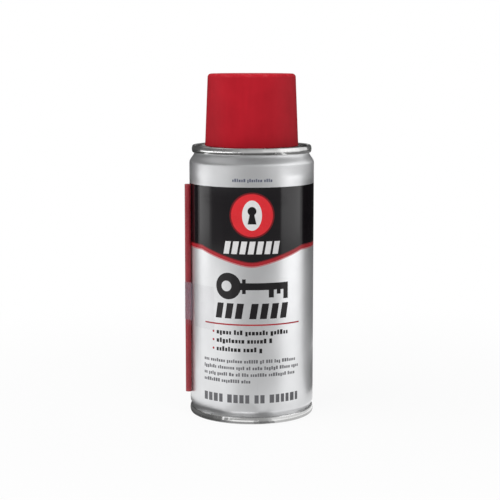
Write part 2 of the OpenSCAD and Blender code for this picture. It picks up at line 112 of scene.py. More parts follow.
class Look:
    """One material or world and short calls for its nodes. Lengths are in metres."""

    def __init__(self, name, home=bpy.data.materials, out="ShaderNodeOutputMaterial"):
        self.block = home.new(name)
        self.block.use_nodes = True
        self.tree = self.block.node_tree
        self.tree.nodes.clear()
        self.out = self.add(out)

    def add(self, kind, **settings):
        node = self.tree.nodes.new(kind)
        for key, value in settings.items():
            setattr(node, key, value)
        return node

    def put(self, socket, value):
        """Links a socket into this one, or sets this one to a value."""
        if isinstance(value, bpy.types.NodeSocket):
            self.tree.links.new(value, socket)
        elif isinstance(value, (tuple, list)) and len(value) == 3 and socket.type == "RGBA":
            socket.default_value = (*value, 1.0)
        else:
            socket.default_value = value

    def maths(self, operation, a, b=0.0, clamp=False):
        node = self.add("ShaderNodeMath", operation=operation, use_clamp=clamp)
        self.put(node.inputs[0], a)
        self.put(node.inputs[1], b)
        return node.outputs[0]

    def plus(self, a, b):
        return self.maths("ADD", a, b)

    def times(self, a, b, clamp=False):
        return self.maths("MULTIPLY", a, b, clamp)

    def place(self):
        """The point in the part's frame."""
        return self.add("ShaderNodeTexCoord").outputs["Object"]

    def axes(self):
        """The x, y and z of the point."""
        node = self.add("ShaderNodeSeparateXYZ")
        self.put(node.inputs[0], self.place())
        return node.outputs

    def stretch(self, factors):
        node = self.add("ShaderNodeVectorMath", operation="MULTIPLY")
        self.put(node.inputs[0], self.place())
        node.inputs[1].default_value = factors
        return node.outputs[0]

    def radius(self):
        """The point's distance from the axis."""
        node = self.add("ShaderNodeVectorMath", operation="LENGTH")
        self.put(node.inputs[0], self.stretch((1.0, 1.0, 0.0)))
        return node.outputs["Value"]

    def noise(self, size, detail=3.0, factors=None, distortion=0.0):
        """Values round 0.5 in spots of about that size."""
        node = self.add("ShaderNodeTexNoise")
        self.put(node.inputs["Vector"], self.stretch(factors) if factors else self.place())
        node.inputs["Scale"].default_value = 1.0 / size
        node.inputs["Detail"].default_value = detail
        node.inputs["Distortion"].default_value = distortion
        return node.outputs["Fac"]

    def fit(self, value, low, high, to_low=0.0, to_high=1.0, smooth=False):
        """Maps low..high to to_low..to_high and holds the ends."""
        node = self.add("ShaderNodeMapRange", clamp=True)
        if smooth:
            node.interpolation_type = "SMOOTHSTEP"
        for name, number in (
            ("Value", value),
            ("From Min", low),
            ("From Max", high),
            ("To Min", to_low),
            ("To Max", to_high),
        ):
            self.put(node.inputs[name], number)
        return node.outputs["Result"]

    def spread(self, noise, to_low=0.0, to_high=1.0):
        """Maps the middle of a noise to to_low..to_high."""
        return self.fit(noise, *NOISE_MIDDLE, to_low, to_high)

    def mix(self, share, a, b):
        node = self.add("ShaderNodeMix", data_type="RGBA")
        for index, value in ((0, share), (6, a), (7, b)):
            self.put(node.inputs[index], value)
        return node.outputs[2]

    def stain(self, tint, mark, share, colour):
        """Lays a share of the colour over the tint where the mark is."""
        return self.mix(self.times(mark, share), tint, colour)

    def dull(self, grain, low, high, mark, more):
        """Roughness from low to high with the grain, and more on the marks."""
        return self.plus(self.spread(grain, low, high), self.times(mark, more))

    def bump(self, height, distance, strength, under=None):
        node = self.add("ShaderNodeBump")
        self.put(node.inputs["Height"], height)
        node.inputs["Distance"].default_value = distance
        node.inputs["Strength"].default_value = strength
        if under is not None:
            self.put(node.inputs["Normal"], under)
        return node.outputs["Normal"]

    def surface(self, **values):
        """Ends in the Principled shader, its sockets named with _ for a space."""
        shader = self.add("ShaderNodeBsdfPrincipled")
        for key, value in values.items():
            self.put(shader.inputs[key.replace("_", " ")], value)
        self.put(self.out.inputs["Surface"], shader.outputs[0])
        return self.block

    def shader(self, kind, **values):
        """The output of a plain shader node."""
        node = self.add(kind)
        for key, value in values.items():
            self.put(node.inputs[key], value)
        return node.outputs[0]

    def either(self, share, first, second):
        """Ends in the first shader, or by the share in the second."""
        node = self.add("ShaderNodeMixShader")
        for socket, value in zip(node.inputs, (share, first, second)):
            self.put(socket, value)
        self.put(self.out.inputs["Surface"], node.outputs[0])


def shade(colour, factor):
    return tuple(min(1.0, c * factor) for c in colour)


def tall(share):
    """Factors that draw a noise out upright, the more the smaller the share."""
    return (1.0, 1.0, share)


# ---------------------------------------------------------------- materials

ROLLED = (0.05, 1.0, 1.0)
HANDLED = (1.0, 0.04, 1.0)
RINGS_PER_METRE = 900.0


def tinplate(name, colour, rough):
    """Bright tinplate with rolling grain, faint rings and handling scratches."""
    look = Look(name)
    grain = look.noise(0.0011, 4.0, ROLLED)
    scratch = look.fit(look.noise(0.0016, 2.0, HANDLED, 0.6), 0.66, 0.72)
    cloud = look.noise(0.006)
    rings = look.add("ShaderNodeTexWave", wave_type="RINGS", rings_direction="Z")
    look.put(rings.inputs["Vector"], look.place())
    rings.inputs["Scale"].default_value = RINGS_PER_METRE
    rings.inputs["Distortion"].default_value = 1.2
    tint = look.mix(look.fit(cloud, 0.35, 0.7), shade(colour, 1.04), shade(colour, 0.9))
    height = look.plus(look.times(rings.outputs["Fac"], 0.25), grain)
    return look.surface(
        Base_Color=look.stain(tint, scratch, 0.35, shade(colour, 0.62)),
        Metallic=1.0,
        Roughness=look.dull(grain, rough * 0.75, rough * 1.3, scratch, 0.15),
        Normal=look.bump(height, 0.000004, 0.5),
    )


SILVER = (0.76, 0.765, 0.775)


def silver_parts(look):
    """Tint, roughness and normal of the silver print."""
    fine = look.noise(0.0005)
    cloud = look.noise(0.009)
    scuff = look.fit(look.noise(0.0022, 4.0, tall(0.06), 0.4), 0.69, 0.76)
    tint = look.mix(look.spread(cloud), shade(SILVER, 1.02), shade(SILVER, 0.95))
    tint = look.stain(tint, scuff, 0.25, shade(SILVER, 0.75))
    return tint, look.dull(fine, 0.35, 0.43, scuff, 0.1), look.bump(fine, 0.000004, 0.6)


def varnished(look, tint, dull, normal):
    """Metallic print under a thin clear varnish."""
    return look.surface(
        Base_Color=tint,
        Metallic=0.92,
        Roughness=dull,
        Coat_Weight=0.25,
        Coat_Roughness=0.12,
        Normal=normal,
    )


def silver_print():
    look = Look("print_silver")
    return varnished(look, *silver_parts(look))


BACK = 0.02
BARE_HALF = 0.0024
WELD_HALF = 0.00045
WELD_EDGE = WELD_HALF * 2.2


def can_metal():
    """The silver print, with the bare strip and the welded seam at the back."""
    look = Look("can_print_and_weld")
    x, y, _ = look.axes()
    tint, dull, normal = silver_parts(look)
    across = look.maths("ABSOLUTE", x)
    behind = look.maths("GREATER_THAN", y, BACK)
    wander = look.times(look.noise(0.004, 2.0), 0.0002)
    strip = look.times(behind, look.maths("LESS_THAN", look.plus(across, wander), BARE_HALF))
    weld = look.times(behind, look.fit(across, WELD_HALF, WELD_EDGE, 1.0, 0.0, True))
    nuggets = look.noise(0.0007, 2.0, tall(0.8))
    bare = look.mix(look.noise(0.003), (0.72, 0.72, 0.71), (0.6, 0.6, 0.6))
    burnt = look.mix(look.fit(nuggets, 0.35, 0.65), (0.2, 0.21, 0.24), (0.36, 0.34, 0.32))
    return varnished(
        look,
        look.mix(weld, look.mix(strip, tint, bare), burnt),
        look.plus(dull, look.times(weld, 0.15)),
        look.bump(look.times(nuggets, weld), 0.00004, 0.5, normal),
    )


RUBBED_INK = (0.35, 0.35, 0.36)


def ink(name, colour, other, rough, level=0.3, metal=0.0):
    """Varnished litho ink: a little mottle, fine orange peel and rubs."""
    look = Look(name)
    fine = look.noise(0.0004)
    peel = look.noise(0.0016, 2.0)
    mottle = look.noise(0.005, 4.0)
    rub = look.fit(look.noise(0.0018, 4.0, tall(0.07), 0.5), 0.7, 0.78)
    tint = look.mix(look.spread(mottle), colour, other)
    return look.surface(
        Base_Color=look.stain(tint, rub, 0.12, RUBBED_INK),
        Metallic=metal,
        Roughness=look.dull(fine, rough * 0.85, rough * 1.2, rub, 0.12),
        Specular_IOR_Level=level,
        Normal=look.bump(look.plus(peel, look.times(fine, 0.3)), 0.000006, 0.5),
    )


CAP_RED = (0.46, 0.012, 0.023)
# Pale red along the cap's rims: partly rubbed wear, partly a painted highlight on the rim edges.
RIM_RUB_AND_HIGHLIGHT_RED = (0.62, 0.13, 0.14)
SCRATCHED_RED = (0.55, 0.1, 0.11)
CAP_TOP, CAP_LOW = 0.1240, 0.0981
CAP_TOP_RADIUS = 0.0159
GATE_INNER, GATE_RADIUS, GATE_EDGE = 0.0006, 0.0011, 0.0016


def cap_plastic():
    """Satin moulded plastic, pale along the rims (partly rubs, partly a painted highlight), and a
    gate mark on top.
    """
    look = Look("cap_red")
    _, _, z = look.axes()
    radius = look.radius()
    fine = look.noise(0.00035)
    cloud = look.noise(0.008)
    flow = look.noise(0.004, 3.0, tall(0.12), 0.4)
    rub = look.fit(look.noise(0.0012, 4.0), 0.48, 0.7)
    # Pale bands at the top and bottom rims: partly rubs, partly a painted highlight along the rim
    # edges.
    top_rim = look.times(
        look.fit(z, CAP_TOP - 0.0016, CAP_TOP - 0.0004, 0.0, 1.0, True),
        look.fit(radius, CAP_TOP_RADIUS - 0.0022, CAP_TOP_RADIUS - 0.0008, 0.0, 1.0, True),
    )
    low_rim = look.fit(z, CAP_LOW, CAP_LOW + 0.0009, 1.0, 0.0, True)
    rim_rubs_and_highlight = look.times(look.maths("MAXIMUM", top_rim, low_rim), rub)
    scratch = look.fit(look.noise(0.0022, 3.0, tall(0.05), 0.7), 0.71, 0.76)
    tint = look.mix(look.spread(cloud), CAP_RED, shade(CAP_RED, 0.86))
    tint = look.stain(tint, look.fit(flow, 0.5, 0.75), 0.35, shade(CAP_RED, 1.16))
    tint = look.stain(tint, rim_rubs_and_highlight, 0.2, RIM_RUB_AND_HIGHLIGHT_RED)
    gate = look.times(
        look.fit(radius, GATE_RADIUS, GATE_EDGE, 1.0, 0.0, True),
        look.maths("GREATER_THAN", z, CAP_TOP - 0.0006),
    )
    gate_height = look.times(gate, look.fit(radius, 0.0, GATE_INNER, 0.3, 1.0))
    return look.surface(
        Base_Color=look.stain(tint, scratch, 0.2, SCRATCHED_RED),
        Roughness=look.dull(fine, 0.46, 0.56, rim_rubs_and_highlight, 0.18),
        Specular_IOR_Level=0.06,
        Normal=look.bump(gate_height, 0.00015, 0.7, look.bump(fine, 0.000012, 0.5)),
    )


def moulded(name, colour, other, rough):
    """Plain moulded or drawn plastic or rubber."""
    look = Look(name)
    fine = look.noise(0.0004)
    cloud = look.noise(0.006)
    mark = look.fit(look.noise(0.0015, 4.0, tall(0.1), 0.5), 0.66, 0.74)
    tint = look.mix(look.spread(cloud), colour, other)
    return look.surface(
        Base_Color=look.stain(tint, mark, 0.15, shade(other, 0.7)),
        Roughness=look.dull(fine, rough * 0.88, rough * 1.15, mark, 0.1),
        Specular_IOR_Level=0.45,
        Normal=look.bump(fine, 0.00001, 0.5),
    )


def polished(name, colour, rough):
    """Bright steel of the spring and the ball, with fine marks."""
    look = Look(name)
    fine = look.noise(0.0003)
    mark = look.fit(look.noise(0.0009, distortion=0.8), 0.6, 0.7)
    return look.surface(
        Base_Color=look.mix(look.noise(0.003), colour, shade(colour, 0.86)),
        Metallic=1.0,
        Roughness=look.dull(fine, rough * 0.7, rough * 1.4, mark, 0.12),
        Normal=look.bump(fine, 0.000003, 0.4),
    )


STRAW_RED = (0.34, 0.022, 0.034)
CUT_RED = (0.5, 0.09, 0.1)
STRAW_LOW, STRAW_HIGH = 0.0084, 0.0846


def straw_plastic():
    """Drawn red plastic, a little paler at the cut ends."""
    look = Look("straw_red")
    _, _, z = look.axes()
    fine = look.noise(0.0003, 3.0, tall(0.1))
    cloud = look.noise(0.007, 2.0)
    low_end = look.fit(z, STRAW_LOW, STRAW_LOW + 0.0012, 1.0, 0.0)
    high_end = look.fit(z, STRAW_HIGH - 0.001, STRAW_HIGH)
    tint = look.mix(look.spread(cloud), STRAW_RED, shade(STRAW_RED, 0.8))
    return look.surface(
        Base_Color=look.stain(tint, look.maths("MAXIMUM", low_end, high_end), 0.4, CUT_RED),
        Roughness=look.spread(fine, 0.22, 0.32),
        Specular_IOR_Level=0.5,
        Normal=look.bump(fine, 0.000008, 0.5),
    )


TENT_RADIUS = 0.02285
HAZE_LOW = 0.0352
CLEAR_ALPHA, HAZY_ALPHA = 0.03, 0.22


def tape_film():
    """Hazy where it stands off the can, and clear elsewhere and along its lower edge."""
    look = Look("tape_clear")
    _, _, z = look.axes()
    cloud = look.noise(0.003, 4.0)
    streak = look.noise(0.0012, 3.0, tall(0.08))
    free = look.fit(look.radius(), TENT_RADIUS, TENT_RADIUS + 0.0007, 0.0, 1.0, True)
    free = look.times(free, look.fit(z, HAZE_LOW, HAZE_LOW + 0.0003))
    haze = look.fit(look.plus(cloud, look.times(streak, 0.4)), 0.4, 1.0, 0.8, 1.25)
    veil = look.fit(free, 0.0, 1.0, CLEAR_ALPHA, HAZY_ALPHA)
    return look.surface(
        Base_Color=look.mix(look.spread(cloud), (0.38, 0.34, 0.41), (0.32, 0.28, 0.35)),
        Roughness=look.spread(streak, 0.1, 0.2),
        Specular_IOR_Level=0.5,
        Alpha=look.times(veil, haze, True),
        Normal=look.bump(cloud, 0.00002, 0.5),
    )


bright_tin = tinplate("tinplate_bright", (0.76, 0.76, 0.755), 0.17)
compound = moulded("seam_compound", (0.12, 0.115, 0.1), (0.09, 0.085, 0.075), 0.7)
rubber = moulded("gasket_rubber", (0.022, 0.022, 0.024), (0.035, 0.035, 0.036), 0.62)
spring_steel = polished("spring_steel", (0.58, 0.58, 0.59), 0.2)
DRESS = {
    "can_body": can_metal(),
    "top_dome": bright_tin,
    "bottom_end": bright_tin,
    "mounting_cup": tinplate("tinplate_cup", (0.74, 0.73, 0.70), 0.22),
    "top_seam_compound": compound,
    "bottom_seam_compound": compound,
    "cup_gasket": rubber,
    "stem_gasket": rubber,
    "valve_housing": moulded("housing_plastic", (0.76, 0.76, 0.72), (0.7, 0.7, 0.66), 0.42),
    "valve_stem": moulded("stem_plastic", (0.8, 0.8, 0.77), (0.74, 0.74, 0.71), 0.35),
    "dip_tube": moulded("tube_plastic", (0.7, 0.72, 0.71), (0.62, 0.64, 0.63), 0.3),
    "valve_spring": spring_steel,
    "mixing_ball": polished("ball_steel", (0.66, 0.66, 0.68), 0.08),
    "spray_button": moulded("button_white", (0.8, 0.8, 0.79), (0.75, 0.75, 0.74), 0.32),
    "nozzle_insert": moulded("insert_black", (0.012, 0.012, 0.013), (0.02, 0.02, 0.021), 0.3),
    "cap": cap_plastic(),
    "straw": straw_plastic(),
    "straw_tape": tape_film(),
}
for node_name, node_material in DRESS.items():
    slots = nodes[node_name].data.materials
    slots.clear()
    slots.append(node_material)

# ---------------------------------------------------------------- the printed body
# s is the length along the wall from the middle of the front, to the right.
# z is the height. Both are in mm.

PRINT_RADIUS = 22.612
PRINT_HALF = 68.7
PRINT_LOW, PRINT_HIGH = 4.95, 92.05
COLUMN_STEP = 0.6
INKS = [
    ("silver", silver_print()),
    ("black", ink("ink_black", (0.0045, 0.0035, 0.005), (0.007, 0.005, 0.0065), 0.13, 0.34)),
    ("red", ink("ink_red", (0.45, 0.018, 0.027), (0.4, 0.015, 0.024), 0.24)),
    ("bright_red", ink("ink_bright_red", (0.78, 0.026, 0.036), (0.7, 0.022, 0.031), 0.24)),
    ("deep_red", ink("ink_deep_red", (0.2, 0.008, 0.012), (0.16, 0.006, 0.01), 0.24)),
    ("pink", ink("ink_pink", (0.62, 0.25, 0.26), (0.58, 0.22, 0.235), 0.3, 0.5, 0.3)),
    ("white", ink("ink_white", (0.82, 0.81, 0.81), (0.76, 0.755, 0.76), 0.25)),
    ("grey", ink("ink_grey", (0.12, 0.12, 0.13), (0.16, 0.16, 0.17), 0.28)),
    ("blue_grey", ink("ink_blue_grey", (0.09, 0.1, 0.16), (0.12, 0.13, 0.19), 0.28)),
]
INK_INDEX = {name: index for index, (name, _) in enumerate(INKS)}

# The fine print's letters, as shares of their height or of all letters.
LETTER_WIDTHS = (0.38, 0.62)
LETTER_GAP, WORD_GAP, LEAST_ROOM = 0.2, 0.42, 0.4
LOW_LETTER, TAIL_DEPTH = 0.74, 0.24
TAILED_BELOW, TALL_ABOVE = 0.1, 0.68


DICE_FACTOR, DICE_STEP, DICE_SIZE = 1103515245, 12345, 2147483648


class Dice:
    """Repeatable numbers for the fine print."""

    def __init__(self, seed):
        self.state = seed

    def between(self, low, high):
        self.state = (self.state * DICE_FACTOR + DICE_STEP) % DICE_SIZE
        return low + (high - low) * self.state / DICE_SIZE


class Artwork:
    """Flat areas of ink in the order they are printed."""

    def __init__(self):
        self.areas = []

    def area(self, colour, points):
        turn = sum(a[0] * b[1] - b[0] * a[1] for a, b in zip(points, points[1:] + points[:1]))
        self.areas.append((INK_INDEX[colour], points if turn > 0 else points[::-1]))

    def bar(self, colour, s0, s1, z0, z1, lean=0.0):
        self.area(colour, [(s0, z0), (s1, z0), (s1 + lean, z1), (s0 + lean, z1)])

    def slanted_bars(self, colour, start, count, step, wide, z0, z1, lean):
        for k in range(count):
            s = start + step * k
            self.bar(colour, s, s + wide, z0, z1, lean)

    def disc(self, colour, s, z, radius, radius_z=None, steps=56):
        high = radius_z or radius
        turns = [2.0 * math.pi * k / steps for k in range(steps)]
        self.area(colour, [(s + radius * math.cos(t), z + high * math.sin(t)) for t in turns])

    def fine_print(self, colour, s0, s1, z, height, dice, letters=(2, 8), capitals=False):
        """A line of small blocks in groups, which reads as print from afar."""
        fewest, most = letters
        s = s0
        while s < s1 - LEAST_ROOM * height:
            for _ in range(int(dice.between(fewest, most + 0.99))):
                wide = height * dice.between(*LETTER_WIDTHS)
                if s + wide > s1:
                    return
                kind = dice.between(0.0, 1.0)
                is_tall = capitals or kind > TALL_ABOVE
                has_tail = kind < TAILED_BELOW and not capitals
                top = z + height * (1.0 if is_tall else LOW_LETTER)
                low = z - height * (TAIL_DEPTH if has_tail else 0.0)
                self.bar(colour, s, s + wide, low, top)
                s += wide + height * LETTER_GAP
            s += height * WORD_GAP


BAND_TOP = 84.85
POINT_Z, POINT_ROUNDING, POINT_SLOPE, SIDE_Z = 56.6, 1.0, 0.307, 62.9
POINT_STEPS = [float(k) for k in range(-21, 22)]
CHEVRON_STEPS = [-PRINT_HALF, -40.0, -24.0, *POINT_STEPS, 24.0, 40.0, PRINT_HALF]


def chevron(shift):
    """The band's lower edge, moved up by shift. Its rounded point levels off at the sides."""
    line = []
    for s in CHEVRON_STEPS:
        rise = math.hypot(POINT_SLOPE * s, POINT_ROUNDING)
        line.append((s, min(POINT_Z + rise, SIDE_Z) + shift))
    return line


def band(art):
    """The black band with the stripes along its chevron."""
    edges = [chevron(shift) for shift in (-1.0, -0.55, 0.6, 0.95)]
    edges.append([(-PRINT_HALF, BAND_TOP), (PRINT_HALF, BAND_TOP)])
    for colour, lower, upper in zip(("pink", "red", "deep_red", "black"), edges, edges[1:]):
        art.area(colour, lower + upper[::-1])


BADGE_RIM, BADGE_RADIUS = 8.05, 7.5
PLATE_HALF_WIDTH, PLATE_HALF_HEIGHT = 3.5, 5.3
HOLE_RADIUS, HOLE_RISE = 1.55, 1.5
SLOT_TOP, SLOT_TOP_HALF = 0.6, 0.75
SLOT_FOOT, SLOT_FOOT_HALF = -3.1, 1.55


def badge(art, s, z):
    """A red disc with a dark rim, and on it a white plate with a keyhole."""
    art.disc("deep_red", s, z, BADGE_RIM, steps=72)
    art.disc("bright_red", s, z, BADGE_RADIUS, steps=72)
    art.disc("white", s, z, PLATE_HALF_WIDTH, PLATE_HALF_HEIGHT)
    art.disc("black", s, z + HOLE_RISE, HOLE_RADIUS, steps=32)
    top, foot_z = z + SLOT_TOP, z + SLOT_FOOT
    slot = [
        (s - SLOT_TOP_HALF, top),
        (s + SLOT_TOP_HALF, top),
        (s + SLOT_FOOT_HALF, foot_z),
        (s - SLOT_FOOT_HALF, foot_z),
    ]
    art.area("black", slot)


# The key's parts, measured from the lower left corner of its sign: a bow's radius, and
# for bars the left and right ends, the foot and the top.
BOW_RADIUS, BOW_HOLE_RADIUS = 4.75, 1.9
KEY_MIDDLE = 5.0
KEY_BARS = (
    (9.9, 11.2, 2.4, 7.6),
    (9.0, 26.9, 3.75, 6.25),
    (19.4, 21.3, 1.0, 4.2),
    (22.4, 23.9, 2.2, 4.2),
    (25.0, 26.9, 0.4, 4.2),
)


def key_sign(art, s, z):
    """A plain key on its side: ring bow, collar, shaft and three bits."""
    art.disc("black", s + BOW_RADIUS, z + KEY_MIDDLE, BOW_RADIUS, steps=64)
    art.disc("silver", s + 4.1, z + KEY_MIDDLE, BOW_HOLE_RADIUS, steps=40)
    for left, right, low, top in KEY_BARS:
        art.bar("black", s + left, s + right, z + low, z + top)


# The front's rows, as the height of the line and its right end.
BULLET_ROWS = ((32.5, 14.5), (29.5, 7.9), (26.4, 3.9))
SMALL_ROWS = ((22.35, 18.0), (19.93, 18.9), (17.5, 17.2), (15.1, -0.4))
ROWS_LEFT = -19.1


def front_panel(art):
    """The front's marks, from top to bottom."""
    dice = Dice(7)
    art.fine_print("blue_grey", -6.9, 7.5, 86.75, 1.15, dice)
    badge(art, 0.1, 75.05)
    art.slanted_bars("white", -10.3, 7, 2.95, 2.05, 61.4, 65.9, 0.8)
    key_sign(art, -13.3, 44.9)
    for start, count in ((-13.6, 3), (-0.9, 4)):
        art.slanted_bars("black", start, count, 3.75, 2.5, 38.3, 43.8, 0.9)
    art.bar("red", -18.6, 19.0, 35.87, 36.4)
    for z, end in BULLET_ROWS:
        art.disc("red", -14.6, z + 0.75, 0.42, steps=20)
        art.fine_print("black", -13.2, end, z, 1.7, dice, (3, 9))
    for z, end in SMALL_ROWS:
        art.fine_print("grey", ROWS_LEFT, end, z, 1.25, dice)
    art.fine_print("grey", ROWS_LEFT, 20.4, 7.8, 3.0, dice, (2, 6), True)


PARAGRAPHS = (6, 5, 7)
PARAGRAPH_TOP, LINE_STEP, PARAGRAPH_GAP = 46.0, 1.95, 1.3


def side_panel(art, s0, s1, seed):
    """A panel beside the front: a red rule, a heading, fine print and a line in the band."""
    dice = Dice(seed)
    art.bar("red", s0, s1, 52.6, 53.1)
    art.fine_print("black", s0, s1 - 7.0, 49.2, 2.0, dice, (4, 8))
    z = PARAGRAPH_TOP
    for lines in PARAGRAPHS:
        for line in range(lines):
            is_last = line == lines - 1
            short = dice.between(8.0, 22.0) if is_last else dice.between(0.0, 2.0)
            art.fine_print("grey", s0, s1 - short, z, 1.05, dice)
            z -= LINE_STEP
        z -= PARAGRAPH_GAP
    art.fine_print("white", s0 + 4.0, s1 - 4.0, 70.0, 2.4, dice, (3, 7))


KEEP_INSIDE = 1
SAME_POINT = 0.00001


def print_skin(art):
    """One thin sheet on the can's straight wall, cut along the outlines of the inks."""
    corners, edges, faces, colours = [], [], [], []

    def add_area(colour, points):
        first = len(corners)
        corners.extend(Vector(p) for p in points)
        faces.append(list(range(first, first + len(points))))
        colours.append(colour)

    low_left, high_right = (-PRINT_HALF, PRINT_LOW), (PRINT_HALF, PRINT_HIGH)
    low_right, high_left = (PRINT_HALF, PRINT_LOW), (-PRINT_HALF, PRINT_HIGH)
    add_area(INK_INDEX["silver"], [low_left, low_right, high_right, high_left])
    for colour, points in art.areas:
        add_area(colour, points)
    columns = int(2 * PRINT_HALF / COLUMN_STEP)
    for k in range(1, columns):
        s = -PRINT_HALF + 2 * PRINT_HALF * k / columns
        first = len(corners)
        corners.extend((Vector((s, PRINT_LOW)), Vector((s, PRINT_HIGH))))
        edges.append((first, first + 1))
    flat, _, cells, _, _, sources = geometry.delaunay_2d_cdt(
        corners, edges, faces, KEEP_INSIDE, SAME_POINT
    )
    points, normals = [], []
    reach = PRINT_RADIUS * MM
    for p in flat:
        turn = p.x / PRINT_RADIUS
        normals.append(Vector((math.sin(turn), -math.cos(turn), 0.0)))
        points.append((reach * math.sin(turn), -reach * math.cos(turn), p.y * MM))
    skin = new_mesh("body_print", points, cells, [material for _, material in INKS])
    mesh = skin.data
    for face, source in zip(mesh.polygons, sources):
        face.material_index = colours[max(source)] if source else INK_INDEX["silver"]
        face.use_smooth = True
    layer = mesh.uv_layers.new(name="OFBake")
    for loop in mesh.loops:
        p = flat[loop.vertex_index]
        layer.data[loop.index].uv = (
            (p.x + PRINT_HALF) / (2 * PRINT_HALF),
            (p.y - PRINT_LOW) / (PRINT_HIGH - PRINT_LOW),
        )
    mesh.normals_split_custom_set_from_vertices(normals)
    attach(skin, "can")


artwork = Artwork()
band(artwork)
front_panel(artwork)
side_panel(artwork, 36.4, 65.0, 11)
side_panel(artwork, -65.0, -36.4, 23)
print_skin(artwork)

# ---------------------------------------------------------------- the spring under the stem

SPRING_REACH = 2.35 * MM
SPRING_WIRE = 0.5 * MM
SPRING_TURNS = 6
STEPS_PER_TURN = 30
WIRE_SIDES = 12
FLAT_TURNS = 0.8
LAY_GAP = 0.08 * MM


def wire_line(low, high):
    """Points along the middle of the wire, whose end turns lie flat on their neighbours."""
    rise = high - low - SPRING_WIRE
    flat = FLAT_TURNS / SPRING_TURNS
    lay = FLAT_TURNS * (SPRING_WIRE + LAY_GAP) / rise
    steps = STEPS_PER_TURN * SPRING_TURNS
    line = []
    for i in range(steps + 1):
        u = i / steps
        if u < flat:
            climb = lay * u / flat
        elif u > 1.0 - flat:
            climb = 1.0 - lay * (1.0 - u) / flat
        else:
            climb = lay + (1.0 - 2.0 * lay) * (u - flat) / (1.0 - 2.0 * flat)
        a = 2.0 * math.pi * SPRING_TURNS * u
        height = low + SPRING_WIRE / 2.0 + rise * climb
        line.append(Vector((SPRING_REACH * math.cos(a), SPRING_REACH * math.sin(a), height)))
    return line


def spring_coil():
    """The valve spring in rounder wire."""
    low, high = (corner[2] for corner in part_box("valve_spring"))
    line = wire_line(low, high)
    last, sides = len(line) - 1, WIRE_SIDES
    points, faces = [], []
    for i, centre in enumerate(line):
        along = (line[min(i + 1, last)] - line[max(i - 1, 0)]).normalized()
        outward = Vector((centre.x, centre.y, 0.0)).normalized()
        upward = along.cross(outward)
        for k in range(sides):
            a = 2.0 * math.pi * k / sides
            side = math.cos(a) * outward + math.sin(a) * upward
            points.append(centre + side * (SPRING_WIRE / 2.0))
    for i in range(last):
        for k in range(sides):
            a, b = i * sides + k, i * sides + (k + 1) % sides
            faces.append((a, b, b + sides, a + sides))
    faces.append(tuple(reversed(range(sides))))
    faces.append(tuple(range(last * sides, (last + 1) * sides)))
    coil = new_mesh("spring_coil", points, faces, [spring_steel])
    is_smooth = [True] * (last * sides) + [False, False]
    coil.data.polygons.foreach_set("use_smooth", is_smooth)
    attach(coil, "can")
    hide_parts("valve_spring")
    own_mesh(coil)


spring_coil()

# ---------------------------------------------------------------- stage and light

BACKGROUND_RAYS = ("Is Camera Ray", "Is Glossy Ray", "Is Transmission Ray")


def seen(look):
    """1 for rays that show the background: camera, mirror and see-through rays."""
    path = look.add("ShaderNodeLightPath")
    camera, glossy, through = (path.outputs[kind] for kind in BACKGROUND_RAYS)
    return look.maths("MAXIMUM", look.maths("MAXIMUM", camera, glossy), through)


FLOOR_REACH, FLOOR_STEPS = 4.0, 96
FLOOR_DROP = 0.00002
FLOOR_GLOW = 0.9
GLOW_NEAR, GLOW_FAR = 0.05, 0.25


def floor():
    """A white floor that keeps the can's shadow and fades into the background."""
    look = Look("floor_white")
    dust = look.mix(look.noise(0.05), (0.84, 0.84, 0.84), (0.8, 0.8, 0.8))
    glowing = look.fit(look.radius(), GLOW_NEAR, GLOW_FAR, FLOOR_GLOW, 1.0, True)
    look.either(
        look.times(seen(look), glowing),
        look.shader("ShaderNodeBsdfDiffuse", Color=dust),
        look.shader("ShaderNodeEmission", Color=WHITE, Strength=1.0),
    )
    turns = [2 * math.pi * k / FLOOR_STEPS for k in range(FLOOR_STEPS)]
    rim = [(FLOOR_REACH * math.cos(t), FLOOR_REACH * math.sin(t), 0.0) for t in turns]
    obj = new_mesh("floor", rim, [list(range(FLOOR_STEPS))], [look.block])
    obj.location.z = -FLOOR_DROP


def world(ambient):
    """Plain light all round, and white wherever the background shows."""
    look = Look("studio", bpy.data.worlds, "ShaderNodeOutputWorld")
    look.either(
        seen(look),
        look.shader("ShaderNodeBackground", Color=WHITE, Strength=ambient),
        look.shader("ShaderNodeBackground", Color=WHITE, Strength=1.0),
    )
    bpy.context.scene.world = look.block


CAN_AIM = Vector((0.0, 0.0, 0.062))
CAP_AIM = Vector((0.0, 0.0, 0.121))


def softbox(name, azimuth, elevation, distance, size, radiance, aim=CAN_AIM, **rays):
    """A soft lamp that stands at that azimuth, 0 for the front and 90 for the right."""
    a, e = math.radians(azimuth), math.radians(elevation)
    back = Vector((math.sin(a) * math.cos(e), -math.cos(a) * math.cos(e), math.sin(e)))
    wide, high = size
    data = bpy.data.lights.new(name, "AREA")
    data.shape = "RECTANGLE"
    data.size, data.size_y = wide, high
    data.energy = radiance * math.pi * wide * high
    obj = new_object(name, data)
    obj.location = aim + back * distance
    obj.rotation_mode = "QUATERNION"
    obj.rotation_quaternion = (-back).to_track_quat("-Z", "Y")
    for key, value in rays.items():
        setattr(obj, key, value)


# The cards stand in tiers on a drum round the can. Most tiers end at one of these
# heights: what the label, the black band, the shoulder and the neck mirror, then the
# room above the can and the edge of its roof.
CARD_RADIUS = 0.13
CARD_FOOT = 0.001
LABEL, BAND, SHOULDER, NECK, ROOM, ROOF = 0.047, 0.078, 0.0865, 0.1, 0.18, 0.28
ROOF_INNER = (0.03, 0.33)
UNDER_SEAM_REACH = 0.11
WALL_RADIUS, SEAM_RADIUS = 0.0226, 0.025
GROUND = 0.0002


